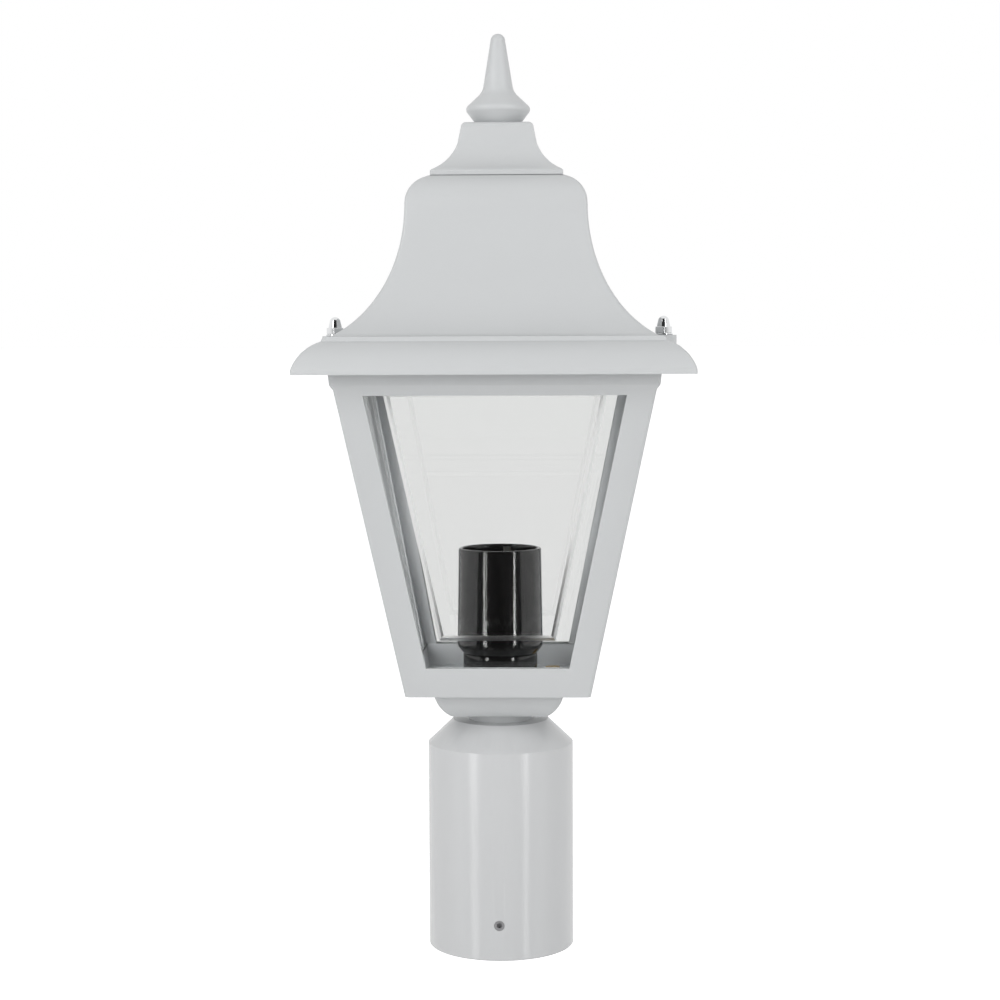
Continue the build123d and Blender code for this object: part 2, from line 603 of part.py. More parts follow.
def skirt_lock():
    """The springy metal tongue inside the mouth that stops the skirt from working loose."""
    wall_r = SKIRT_TOP_R - SKIRT_WALL - SLIP
    back = wall_r - LOCK_THICK
    half = LOCK_WIDTH / 2
    tongue = block((back, -half, RING_TOP_Z), (wall_r, half, SKIRT_TOP_Z - LOCK_BELOW_RIM))
    foot = block((RING_R - RING_WALL + SLIP, -half, RING_TOP_Z), (wall_r, half, RING_TOP_Z + LOCK_THICK))
    rounding = pillar(wall_r, RING_TOP_Z, SKIRT_TOP_Z)
    return ((tongue + foot) & rounding).rotate(Axis.Z, LOCK_AZIMUTH)


# ---------------------------------------------------------------- studs, nuts and gasket
def roof_studs():
    stud = pillar(STUD_R, EAR_Z - LOCKNUT, NUT_SEAT_Z + STUD_IN_NUT)
    return Compound([place * stud for place in stud_places()])


def stud_locknuts():
    nut = hex_nut(NUT_AF, STUD_R + THREAD_GAP, EAR_Z - LOCKNUT, EAR_Z, NUT_TURN)
    return Compound([place * nut for place in stud_places()])


def roof_gasket():
    """The soft seal between the frame's top and the roof's rim."""
    outer_w = BAND_TOP_W - SLIP
    inner_w = outer_w - GASKET_WIDTH
    outer = straight((0, FRAME_TOP_Z), (outer_w, FRAME_TOP_Z), (outer_w, ROOF_SEAT_Z), (0, ROOF_SEAT_Z))
    inner = straight((0, FRAME_TOP_Z), (inner_w, FRAME_TOP_Z), (inner_w, ROOF_SEAT_Z), (0, ROOF_SEAT_Z))
    return crossed(outer) - crossed(inner)


def nut_washers():
    washer = tube(NUT_WASHER_R, STUD_R + HOLE_GAP, LEDGE_Z, NUT_SEAT_Z)
    return Compound([place * washer for place in stud_places()])


def acorn_nut(place):
    """A domed cap nut with a hexagon foot."""
    dome_z = NUT_SEAT_Z + NUT_HEX
    top_z = dome_z + NUT_DOME
    foot = hexagon(NUT_AF, NUT_SEAT_Z + THREAD_GAP, dome_z, NUT_TURN)
    dome = turned(section(
        Polyline((0, dome_z), (NUT_DOME_R, dome_z), (NUT_DOME_TOP_R, top_z - NUT_DOME_ROUND)),
        dome_arc(NUT_DOME_TOP_R, top_z - NUT_DOME_ROUND, top_z),
        Line((0, top_z), (0, dome_z))))
    nut = foot + dome - pillar(STUD_R + THREAD_GAP, NUT_SEAT_Z, NUT_SEAT_Z + NUT_BORE)
    return place * nut


# ---------------------------------------------------------------- roof
def bell_curve(inset=0.0):
    """The roof's hollow sweep, from the ledge up to the shoulder. An inset gives the inner face."""
    half_w, half_h = BELL_SWEEP_W + inset, BELL_SWEEP_H + inset
    sweep = degrees(asin(BELL_HEIGHT / half_h))
    return EllipticalCenterArc((BELL_TOP_W + BELL_SWEEP_W, BELL_TOP_Z), half_w, half_h,
                               start_angle=180 + sweep, arc_size=-sweep)


def ovolo_arc(inset=0.0):
    """The rounded cornice, from the lip up to the ledge."""
    low = Vector(LIP_W - inset, OVOLO_Z)
    top = Vector(OVOLO_TOP_W - inset, LEDGE_STEP_Z - inset / 2)
    chord = top - low
    out = Vector(chord.Y, -chord.X).normalized()
    middle = (low + top) / 2 + out * OVOLO_BULGE
    return ThreePointArc(low, middle, top)


def roof_shell():
    """The cast roof: lip, cornice, ledge, bell and shoulder, hollow, with a rim and two stud bosses."""
    bell = bell_curve()
    cornice = ovolo_arc()
    shoulder_w = BELL_TOP_W - SHOULDER_R
    round_step = SHOULDER_R * sqrt(0.5)
    outer = section(
        Polyline((0, LIP_Z), (LIP_W, LIP_Z), (LIP_W, OVOLO_Z)),
        cornice,
        Polyline((OVOLO_TOP_W, LEDGE_STEP_Z), (LEDGE_W, LEDGE_Z), (BELL_FOOT_W, LEDGE_Z)),
        bell,
        ThreePointArc((BELL_TOP_W, BELL_TOP_Z), (shoulder_w + round_step, BELL_TOP_Z + round_step),
                      (shoulder_w, ROOF_TOP_Z)),
        Polyline((shoulder_w, ROOF_TOP_Z), (0, ROOF_TOP_Z), (0, LIP_Z)))

    under_ledge_z = LEDGE_STEP_Z - ROOF_WALL / 2
    skirt_w = LIP_W - ROOF_WALL
    skirt = section(
        Polyline((0, LIP_Z), (skirt_w, LIP_Z), (skirt_w, OVOLO_Z)),
        ovolo_arc(ROOF_WALL),
        Polyline((OVOLO_TOP_W - ROOF_WALL, under_ledge_z), (0, under_ledge_z), (0, LIP_Z)))

    inner_bell = bell_curve(ROOF_WALL)
    foot = inner_bell @ 0
    inner_r = SHOULDER_R - ROOF_WALL
    inner_step = inner_r * sqrt(0.5)
    hollow = section(
        Polyline((0, under_ledge_z), (foot.X, under_ledge_z), (foot.X, foot.Y)),
        inner_bell,
        ThreePointArc((BELL_TOP_W - ROOF_WALL, BELL_TOP_Z),
                      (shoulder_w + inner_step, BELL_TOP_Z + inner_step), (shoulder_w, CEILING_Z)),
        Polyline((shoulder_w, CEILING_Z), (0, CEILING_Z), (0, under_ledge_z)))

    rim_w = BAND_TOP_W - SLIP
    rim_out = straight((0, ROOF_SEAT_Z), (rim_w, ROOF_SEAT_Z), (rim_w, under_ledge_z), (0, under_ledge_z))
    rim_in = straight((0, ROOF_SEAT_Z), (rim_w - RIM_WALL, ROOF_SEAT_Z),
                      (rim_w - RIM_WALL, under_ledge_z), (0, under_ledge_z))
    body = crossed(outer) - crossed(skirt) + (crossed(rim_out) - crossed(rim_in)) - crossed(hollow)
    for place in stud_places():
        body += place * pillar(PAD_R, ROOF_SEAT_Z, LEDGE_Z)
        body -= place * pillar(STUD_R + HOLE_GAP, ROOF_SEAT_Z, LEDGE_Z)
    return body - pillar(FINIAL_STUD_R + HOLE_GAP, CEILING_Z, ROOF_TOP_Z)


def crown_cap():
    """The flared square cap between the roof and the finial."""
    waist_z = CROWN_TOP_Z - CROWN_NECK
    lip_z = ROOF_TOP_Z + CROWN_LIP
    flare_w = CROWN_W - CROWN_BREAK
    flare_z = lip_z + CROWN_BREAK
    round_z = CROWN_TOP_Z - CROWN_ROUND
    run, rise = flare_w - CROWN_WAIST_W, waist_z - flare_z
    chord = sqrt(run ** 2 + rise ** 2)
    sag_w = (flare_w + CROWN_WAIST_W) / 2 - CROWN_SAG * rise / chord
    sag_z = (flare_z + waist_z) / 2 - CROWN_SAG * run / chord
    step = CROWN_ROUND * (1 - sqrt(0.5))
    outer = section(
        Polyline((0, ROOF_TOP_Z), (CROWN_W, ROOF_TOP_Z), (CROWN_W, lip_z), (flare_w, flare_z)),
        ThreePointArc((flare_w, flare_z), (sag_w, sag_z), (CROWN_WAIST_W, waist_z)),
        Polyline((CROWN_WAIST_W, waist_z), (CROWN_TOP_W, round_z)),
        ThreePointArc((CROWN_TOP_W, round_z), (CROWN_TOP_W - step, CROWN_TOP_Z - step),
                      (CROWN_TOP_W - CROWN_ROUND, CROWN_TOP_Z)),
        Polyline((CROWN_TOP_W - CROWN_ROUND, CROWN_TOP_Z), (0, CROWN_TOP_Z), (0, ROOF_TOP_Z)))
    inner_top_z = CROWN_TOP_Z - CROWN_WALL
    inner = section(
        Polyline((0, ROOF_TOP_Z), (flare_w - CROWN_WALL, ROOF_TOP_Z)),
        ThreePointArc((flare_w - CROWN_WALL, ROOF_TOP_Z), (sag_w - CROWN_WALL, sag_z - CROWN_WALL),
                      (CROWN_WAIST_W - CROWN_WALL, waist_z)),
        Polyline((CROWN_WAIST_W - CROWN_WALL, waist_z), (CROWN_TOP_W - CROWN_WALL, inner_top_z),
                 (0, inner_top_z), (0, ROOF_TOP_Z)))
    body = crossed(outer) - crossed(inner)
    return body - pillar(FINIAL_STUD_R + HOLE_GAP, ROOF_TOP_Z, CROWN_TOP_Z)


# ---------------------------------------------------------------- finial and its fixing
def finial():
    """The turned spike with a rounded bead at its foot."""
    tip_z = TIP_Z - FINIAL_TIP_R
    bead = (FINIAL_BEAD_R + FINIAL_BEAD_OUT, FINIAL_BEAD_Z)
    neck = (FINIAL_NECK_R, FINIAL_NECK_Z)
    shape = section(
        Polyline((0, CROWN_TOP_Z), (FINIAL_FOOT_R, CROWN_TOP_Z), bead, neck, (FINIAL_TIP_R, tip_z)),
        dome_arc(FINIAL_TIP_R, tip_z, TIP_Z),
        Line((0, TIP_Z), (0, CROWN_TOP_Z)))
    shape = fillet(corner(shape, bead), FINIAL_BEAD_ROUND)
    shape = fillet(corner(shape, neck), FINIAL_NECK_ROUND)
    return turned(shape) - pillar(FINIAL_STUD_R + THREAD_GAP, CROWN_TOP_Z, CROWN_TOP_Z + FINIAL_STUD_BITE)


def finial_stud():
    low_z = CEILING_Z - FINIAL_WASHER - FINIAL_NUT - FINIAL_STUD_BELOW
    return pillar(FINIAL_STUD_R, low_z, CROWN_TOP_Z + FINIAL_STUD_BITE - HOLE_GAP)


def finial_washer():
    return tube(FINIAL_WASHER_R, FINIAL_STUD_R + HOLE_GAP, CEILING_Z - FINIAL_WASHER, CEILING_Z)


def finial_nut():
    top_z = CEILING_Z - FINIAL_WASHER
    return hex_nut(FINIAL_NUT_AF, FINIAL_STUD_R + THREAD_GAP, top_z - FINIAL_NUT, top_z)


# ---------------------------------------------------------------- the whole lantern
def lantern():
    """Every node of the lantern by name."""
    nodes = {"post_sleeve": post_sleeve()}
    for name, azimuth in zip(("front", "right", "left"), grub_azimuths()):
        nodes[f"grub_screw_{name}"] = grub_screw(azimuth)
    nodes |= {"base_boss": base_boss(), "frame_cage": frame_cage()}
    for name, turn in (("front", 0), ("right", 90), ("back", 180), ("left", 270)):
        nodes[f"glass_{name}"] = glass_pane(turn)
    for strip in corner_strips():
        side = "left" if strip.center().X < 0 else "right"
        end = "front" if strip.center().Y < 0 else "back"
        nodes[f"corner_strip_{end}_{side}"] = strip
    nodes |= {
        "lamp_tray": lamp_tray(),
        "hollow_rod": hollow_rod(),
        "rod_lower_washer": rod_lower_washer(),
        "rod_lower_nut": rod_lower_nut(),
        "rod_upper_washer": rod_upper_washer(),
        "rod_upper_nut": rod_upper_nut(),
        "earth_screw": earth_screw(),
        "earth_washer": earth_washer(),
        "holder_base": holder_base(),
        "holder_skirt": holder_skirt(),
        "contact_carrier": contact_carrier(),
        "lamp_shell": lamp_shell(),
        "centre_contact": centre_contact(),
        "holder_terminals": holder_terminals(),
        "skirt_lock": skirt_lock(),
        "roof_studs": roof_studs(),
        "stud_locknuts": stud_locknuts(),
        "roof_gasket": roof_gasket(),
        "nut_washers": nut_washers(),
        "roof_shell": roof_shell(),
        "crown_cap": crown_cap(),
        "finial": finial(),
        "finial_stud": finial_stud(),
        "finial_washer": finial_washer(),
        "finial_nut": finial_nut(),
    }
    for name, place in zip(("left", "right"), stud_places()):
        nodes[f"acorn_nut_{name}"] = acorn_nut(place)
    return nodes


for node, shape in lantern().items():
    export_step(shape, f"parts/{node}.step")
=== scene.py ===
"""Post top lantern: rounded castings, glass, threads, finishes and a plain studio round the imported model."""
import json
import math

import bmesh
import bpy
from mathutils import Matrix, Vector


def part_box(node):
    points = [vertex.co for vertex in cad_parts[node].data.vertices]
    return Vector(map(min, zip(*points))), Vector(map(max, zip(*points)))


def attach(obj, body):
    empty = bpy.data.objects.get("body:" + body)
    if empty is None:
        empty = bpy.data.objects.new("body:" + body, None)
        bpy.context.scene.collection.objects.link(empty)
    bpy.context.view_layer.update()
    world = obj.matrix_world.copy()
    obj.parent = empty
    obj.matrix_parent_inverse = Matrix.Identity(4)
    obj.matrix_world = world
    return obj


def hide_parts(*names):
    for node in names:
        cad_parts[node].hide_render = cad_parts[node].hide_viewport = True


bl_info = {
    "name": "Post Top Lantern",
    "version": (1, 1, 0),
    "blender": (4, 5, 0),
    "location": "View3D > Sidebar > Lantern",
    "description": "Dresses a post top lantern: castings, glass, lampholder, fasteners and studio",
    "category": "Object",
}

MM = 0.001

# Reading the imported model's triangles.
WELD = 0.002 * MM                # points closer than this are one point
WOUND_WELD = 0.001 * MM          # the same for a thread that is wound here
FLAT = math.radians(0.4)         # triangles that lean less than this lie in one flat face
DIAGONAL_SLIP = 0.03 * MM        # how far off the plan's diagonal a corner's points may lie
CORNER_TURN = math.radians(25)   # least turn of an upright corner
SHARP_TURN = math.radians(32)    # least turn of any other edge that is rounded

# Panes: a slope of the groove faces away from its pane's front by a cosine in this range.
GROOVE_SLOPE = (0.85, 0.97)

# Threads, in parts of their pitch: depth, and where the crest begins and ends.
THREAD_DEPTH, CREST_START, CREST_END = 0.6, 0.45, 0.55

# Lamps: upright panels, in metres.
LAMP_HEIGHT, LAMP_AWAY, LAMP_MIDDLE = 2.4, 1.5, 0.25

# The room that mirrors and panes see, along y from -1 in front: dark up to the first, white from the second.
DARK_TO, WHITE_FROM, DARK_LEVEL = -0.75, -0.35, 0.03

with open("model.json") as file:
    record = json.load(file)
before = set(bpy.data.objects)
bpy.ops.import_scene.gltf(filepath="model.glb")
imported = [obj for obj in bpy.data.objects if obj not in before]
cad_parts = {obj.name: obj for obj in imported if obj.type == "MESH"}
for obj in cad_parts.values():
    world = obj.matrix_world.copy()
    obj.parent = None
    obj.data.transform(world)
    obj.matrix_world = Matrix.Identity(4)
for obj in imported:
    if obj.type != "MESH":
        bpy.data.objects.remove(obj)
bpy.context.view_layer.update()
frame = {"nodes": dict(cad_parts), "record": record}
NODES = frame["nodes"]


# ---------------------------------------------------------------- colours and nodes
def linear(code):
    """An sRGB hex colour as linear RGBA."""
    channels = [int(code[i:i + 2], 16) / 255 for i in (1, 3, 5)]
    return [c / 12.92 if c <= 0.04045 else ((c + 0.055) / 1.055) ** 2.4 for c in channels] + [1.0]


def add(tree, kind, at=(0, 0), settings=None, values=None, links=None):
    """Adds a node, sets its own settings and its inputs' values, and links its inputs from sockets."""
    node = tree.nodes.new(kind)
    node.location = at
    for key, value in (settings or {}).items():
        setattr(node, key, value)
    for key, value in (values or {}).items():
        node.inputs[key].default_value = value
    for key, socket in (links or {}).items():
        tree.links.new(socket, node.inputs[key])
    return node


def new_material(name):
    """A material with an empty node tree, and its output node."""
    material = bpy.data.materials.new(name)
    material.use_nodes = True
    material.node_tree.nodes.clear()
    return material, material.node_tree, add(material.node_tree, "ShaderNodeOutputMaterial", (900, 0))


def cell(millimetres):
    """The scale of a noise texture whose blotches are this wide."""
    return 1 / (millimetres * MM)


def surface(name, shade, tint, spread, rough, blotch, grain, relief, stretch=(1, 1, 1), metallic=0.0,
            ior=1.5):
    """An opaque finish. shade and tint are linear colours mixed by soft blotches, rough is (low, high),
    blotch and grain are sizes in millimetres, and relief is the grain's height in millimetres."""
    material, tree, output = new_material(name)
    place = add(tree, "ShaderNodeTexCoord", (-900, 0))
    turn = add(tree, "ShaderNodeMapping", (-700, 0), values={"Scale": stretch},
               links={"Vector": place.outputs["Object"]})
    soft = add(tree, "ShaderNodeTexNoise", (-500, 200), values={"Scale": cell(blotch), "Detail": 3.0},
               links={"Vector": turn.outputs["Vector"]})
    fine = add(tree, "ShaderNodeTexNoise", (-500, -200), values={"Scale": cell(grain), "Detail": 2.0},
               links={"Vector": turn.outputs["Vector"]})
    share = add(tree, "ShaderNodeMath", (-350, 300), {"operation": "MULTIPLY"}, {1: spread},
                {0: soft.outputs["Fac"]})
    colour = add(tree, "ShaderNodeMix", (-200, 200), {"data_type": "RGBA"}, {"A": shade, "B": tint},
                 {"Factor": share.outputs["Value"]})
    gloss = add(tree, "ShaderNodeMapRange", (-200, 0),
                values={"From Min": 0.3, "From Max": 0.7, "To Min": rough[0], "To Max": rough[1]},
                links={"Value": fine.outputs["Fac"]})
    bump = add(tree, "ShaderNodeBump", (-200, -250), values={"Strength": 1.0, "Distance": relief * MM},
               links={"Height": fine.outputs["Fac"]})
    shader = add(tree, "ShaderNodeBsdfPrincipled", (500, 0), values={"Metallic": metallic, "IOR": ior},
                 links={"Base Color": colour.outputs["Result"], "Roughness": gloss.outputs["Result"],
                        "Normal": bump.outputs["Normal"]})
    tree.links.new(shader.outputs["BSDF"], output.inputs["Surface"])
    return material


# ---------------------------------------------------------------- finishes
def satin_powder_coat(settings):
    """Polyester powder coat on cast aluminium, baked: satin, with a faint orange peel 1.6 mm across."""
    return surface("satin_powder_coat", settings.body, settings.body_tint, 0.6, (0.38, 0.46), blotch=60,
                   grain=1.6, relief=0.010)


def gloss_powder_coat(settings):
    """The same coat in gloss on the socket, smooth enough to mirror a lamp as a soft streak."""
    return surface("gloss_powder_coat", settings.socket, settings.body_tint, 0.3, (0.22, 0.24), blotch=60,
                   grain=1.6, relief=0.006)


def moulded_phenolic(settings):
    """Black phenolic resin, compression moulded and polished by the mould: a deep, slightly wavy gloss."""
    return surface("moulded_phenolic", settings.resin, linear("#0A0909"), 0.5, (0.05, 0.09), blotch=9,
                   grain=2.6, relief=0.003, ior=1.68)


def urea_moulding():
    """White urea resin, moulded matt, round the lamp's contacts."""
    return surface("urea_moulding", linear("#DDD9CE"), linear("#D2CDC0"), 0.5, (0.45, 0.6), blotch=8,
                   grain=0.8, relief=0.01)


def rolled_zinc_sheet():
    """Zinc-coated sheet steel, rolled: pale grey and satin, with fine level lines."""
    return surface("rolled_zinc_sheet", linear("#EEF0F2"), linear("#D8DADC"), 0.8, (0.34, 0.5), blotch=14,
                   grain=1.2, relief=0.01, stretch=(0.25, 0.25, 1), metallic=0.25)


def dull_spring_strip():
    """Unpainted steel strip, dull, with faint lines along its length. Its grey is painted pale, near white:
    painted light for the light the strips catch behind the glass.
    """
    # the near-white colours are painted light, paler than bare steel, standing in for the strips' lit look
    # behind the glass
    return surface("dull_spring_strip", linear("#E0E2E4"), linear("#CDCFD1"), 0.8, (0.45, 0.6), blotch=12,
                   grain=1.0, relief=0.01, stretch=(1, 1, 0.2), metallic=0.1)


def zinc_plate():
    """Zinc-plated steel fasteners: pale grey with a soft sheen."""
    return surface("zinc_plate", linear("#A8A8A2"), linear("#939490"), 0.7, (0.28, 0.4), blotch=4,
                   grain=0.5, relief=0.004, metallic=1.0)


def nickel_plate():
    """Bright nickel over steel: mirrors its surroundings, with an even grey."""
    return surface("nickel_plate", linear("#E6E7E8"), linear("#DADBDC"), 0.5, (0.04, 0.08), blotch=5,
                   grain=1.0, relief=0.003, metallic=1.0)


def drawn_nickel_shell():
    """Nickel on a rolled brass shell: satin, a little warm."""
    return surface("drawn_nickel_shell", linear("#B9B4A6"), linear("#A6A192"), 0.6, (0.2, 0.32), blotch=5,
                   grain=0.8, relief=0.005, metallic=1.0)


def turned_brass():
    """Turned brass contacts: yellow, with fine tool marks."""
    return surface("turned_brass", linear("#C9A656"), linear("#A98843"), 0.6, (0.2, 0.34), blotch=3,
                   grain=0.4, relief=0.004, metallic=1.0)


def blackened_steel():
    """Blackened steel grub screws, the black worn off to a light grey with a dull sheen."""
    return surface("blackened_steel", linear("#A6A6A8"), linear("#929294"), 0.6, (0.35, 0.5), blotch=2,
                   grain=0.4, relief=0.004, metallic=0.3)


def moulded_rubber():
    """Black rubber gasket, moulded matt."""
    return surface("moulded_rubber", linear("#1C1C1D"), linear("#262627"), 0.6, (0.6, 0.8), blotch=6,
                   grain=0.6, relief=0.02)


def clear_glass(settings, name, roughness):
    """Clear float glass: polished, or ground matt in the groove, where it catches light as a pale line.
    Lamps shine through it, so it casts no dark shadow."""
    material, tree, output = new_material(name)
    place = add(tree, "ShaderNodeTexCoord", (-900, 0))
    batch = add(tree, "ShaderNodeTexNoise", (-600, 0), values={"Scale": cell(80), "Detail": 1.0},
                links={"Vector": place.outputs["Object"]})
    tone = add(tree, "ShaderNodeMix", (-300, 0), {"data_type": "RGBA"},
               {"A": settings.tint, "B": linear("#F6F7F6")}, {"Factor": batch.outputs["Fac"]})
    shader = add(tree, "ShaderNodeBsdfPrincipled", (200, 0),
                 values={"Roughness": roughness, "IOR": 1.52, "Transmission Weight": 1.0},
                 links={"Base Color": tone.outputs["Result"]})
    clear = add(tree, "ShaderNodeBsdfTransparent", (200, -400), values={"Color": linear("#F2F3F3")})
    path = add(tree, "ShaderNodeLightPath", (200, 300))
    mix = add(tree, "ShaderNodeMixShader", (600, 0),
              links={0: path.outputs["Is Shadow Ray"], 1: shader.outputs["BSDF"], 2: clear.outputs["BSDF"]})
    tree.links.new(mix.outputs["Shader"], output.inputs["Surface"])
    return material


# ---------------------------------------------------------------- sizes and colours a user would change
def colour(name, code, about):
    """A colour property from an sRGB hex value."""
    return bpy.props.FloatVectorProperty(name=name, description=about, default=linear(code), size=4,
                                         subtype="COLOR", min=0.0, max=1.0)


def length(name, millimetres, about):
    """A length property from a size in millimetres."""
    return bpy.props.FloatProperty(name=name, description=about, default=millimetres * MM, unit="LENGTH",
                                   min=0.0, precision=5)


class LanternCoat(bpy.types.PropertyGroup):
    """The painted castings."""

    body: colour("Body", "#C8CACB", "Coat of the roof, the crown, the finial, the frame and the boss")
    body_tint: colour("Body tint", "#C4C6C7", "What that coat fades to in soft blotches")
    socket: colour("Socket", "#CBCCCD", "Coat of the post socket")
    roof_corner: length("Roof corners", 1.5, "Radius of the roof's four upright corners")
    crown_corner: length("Crown corners", 0.5, "Radius of the crown cap's four upright corners")
    boss_corner: length("Boss corners", 2.0, "Radius of the boss's four upright corners")
    post_corner: length("Post corners", 1.6, "Radius of the frame's four outer corners")
    roof_edge: length("Roof edges", 0.9, "Radius of the roof's ledge, lip and cornice edges")
    edge: length("Edges", 0.4, "Radius of all other cast edges")


class LanternGlazing(bpy.types.PropertyGroup):
    """The panes."""

    tint: colour("Tint", "#F7F7F7", "Colour that light keeps on its way through a pane")
    arris: length("Arris", 0.25, "Width that is taken off the panes' sharp edges")
    groove_in: length("Groove inset", 15.8, "From a pane's sides and foot to its groove")
    groove_top: length("Groove top", 7.0, "From a pane's top to its groove, behind the frame's top band")
    groove_half: length("Groove half width", 1.3, "Width of each of the groove's two slopes")
    groove_depth: length("Groove depth", 0.6, "Depth of the groove")
    groove_matt: bpy.props.FloatProperty(name="Groove matt", description="How matt the groove's slopes are",
                                         default=0.4, min=0.0, max=1.0)


class LanternHolder(bpy.types.PropertyGroup):
    """The lampholder and the tray under it."""

    resin: colour("Resin", "#060505", "Black of the moulded skirt and base")
    rim: length("Rim", 0.75, "Radius of the skirt's and the base's edges")
    carrier_edge: length("Carrier edges", 0.3, "Radius of the contact carrier's edges")
    lamp_pitch: length("Lamp thread", 3.62, "Pitch of the rolled lamp thread")
    lamp_wave: length("Thread depth", 0.9, "Depth of the rolled lamp thread")
    shell_wall: length("Shell wall", 0.4, "Thickness of the rolled shell")
    tray_bend: length("Tray bends", 1.6, "Outer radius of the tray's folded corners")
    tray_edge: length("Tray edges", 0.15, "Radius of the tray's sheared edges")


class LanternFasteners(bpy.types.PropertyGroup):
    """Screws, nuts and studs."""

    stud_pitch: length("Stud thread", 0.8, "Pitch of the roof studs' thread")
    rod_pitch: length("Rod thread", 1.0, "Pitch of the hollow rod's and the finial stud's thread")
    rod_bore: length("Rod bore", 3.6, "Radius of the hole that the leads pass through")
    nut_edge: length("Nut edges", 0.3, "Radius of the nuts' edges")


class LanternStudio(bpy.types.PropertyGroup):
    """The camera, the lamps and the floor."""

    lens: bpy.props.FloatProperty(name="Lens", description="Focal length on a 36 mm sensor", default=79.344,
                                  unit="CAMERA")
    camera_place: bpy.props.FloatVectorProperty(
        name="Camera", description="Where the camera stands, in the lantern's frame",
        default=(0.0324, -1.08722, 0.30817), subtype="TRANSLATION", unit="LENGTH")
    pitch: bpy.props.FloatProperty(name="Pitch", description="How far the camera looks down",
                                   default=math.radians(4.5097), subtype="ANGLE", unit="ROTATION")
    turn: bpy.props.FloatProperty(name="Turn", description="How far the camera turns about the vertical",
                                  default=math.radians(1.7), subtype="ANGLE", unit="ROTATION")
    roll: bpy.props.FloatProperty(name="Roll", description="How far the camera is rolled",
                                  default=math.radians(-0.24), subtype="ANGLE", unit="ROTATION")
    fill: bpy.props.FloatProperty(name="Fill", description="Brightness of the light from all round",
                                  default=0.57, min=0.0, max=2.0)
    paper: bpy.props.FloatProperty(name="Paper", description="How much brighter the camera sees the floor",
                                   default=0.62, min=0.0, max=2.0)


# ---------------------------------------------------------------- modelling by hand, in code
def deselect():
    """Leaves nothing selected, so that an operator acts only on what is made next."""
    if bpy.context.mode != "OBJECT":
        bpy.ops.object.mode_set(mode="OBJECT")
    bpy.ops.object.select_all(action="DESELECT")


def edit(piece):
    """Opens one piece in edit mode, with all of it selected."""
    deselect()
    piece.select_set(True)
    bpy.context.view_layer.objects.active = piece
    bpy.ops.object.mode_set(mode="EDIT")
    bpy.ops.mesh.select_mode(type="EDGE")
    bpy.ops.mesh.select_all(action="SELECT")


def pick_edges(wanted):
    """Selects the edges between two faces that a test accepts, and nothing else."""
    bpy.ops.mesh.select_all(action="DESELECT")
    data = bpy.context.object.data
    mesh = bmesh.from_edit_mesh(data)
    for edge in mesh.edges:
        if len(edge.link_faces) == 2 and wanted(edge):
            edge.select_set(True)
    bmesh.update_edit_mesh(data)


def on_diagonal(point):
    """Whether a point lies on one of the plan's two diagonals, where square castings have their corners."""
    return abs(abs(point.x) - abs(point.y)) < DIAGONAL_SLIP


def upright_corner(edge):
    """Whether an edge is one of a square piece's four outer corners."""
    low, high = (vert.co for vert in edge.verts)
    corner = on_diagonal(low) and on_diagonal(high) and on_diagonal((low + high) / 2)
    return corner and edge.is_convex and edge.calc_face_angle(0) > CORNER_TURN


def outer_edge(edge):
    """Whether an edge stands out sharply."""
    return edge.is_convex and edge.calc_face_angle(0) > SHARP_TURN


def finish_piece(piece, material, body, replaced=(), smooth=28.0):
    """Smooths a new piece across edges flatter than smooth degrees, gives it its finish and its body, and
    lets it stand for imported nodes."""
    deselect()
    piece.select_set(True)
    bpy.context.view_layer.objects.active = piece
    bpy.ops.object.shade_smooth_by_angle(angle=math.radians(smooth))
    piece.data.materials.clear()
    piece.data.materials.append(material)
    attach(piece, body)
    if replaced:
        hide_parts(*replaced)


def body_of(node):
    """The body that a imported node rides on."""
    return next(name for name, members in frame["record"]["behaviour"]["bodies"].items() if node in members)


def rounded(node, material, corner=0.0, edge=0.0):
    """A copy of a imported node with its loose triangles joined, its flat faces made whole, and its upright
    corners and its other outer edges rounded. It stands for the node."""
    deselect()
    piece = bpy.data.objects.new(f"{node}_finished", NODES[node].data.copy())
    bpy.context.scene.collection.objects.link(piece)
    edit(piece)
    bpy.ops.mesh.customdata_custom_splitnormals_clear()
    bpy.ops.mesh.remove_doubles(threshold=WELD)
    bpy.ops.mesh.dissolve_limited(angle_limit=FLAT)
    for wanted, radius, segments, clamp in ((upright_corner, corner, 5, False), (outer_edge, edge, 3, True)):
        if radius:
            pick_edges(wanted)
            bpy.ops.mesh.bevel(offset=radius, segments=segments, affect="EDGES", clamp_overlap=clamp)
    finish_piece(piece, material, body_of(node), replaced=(node,))


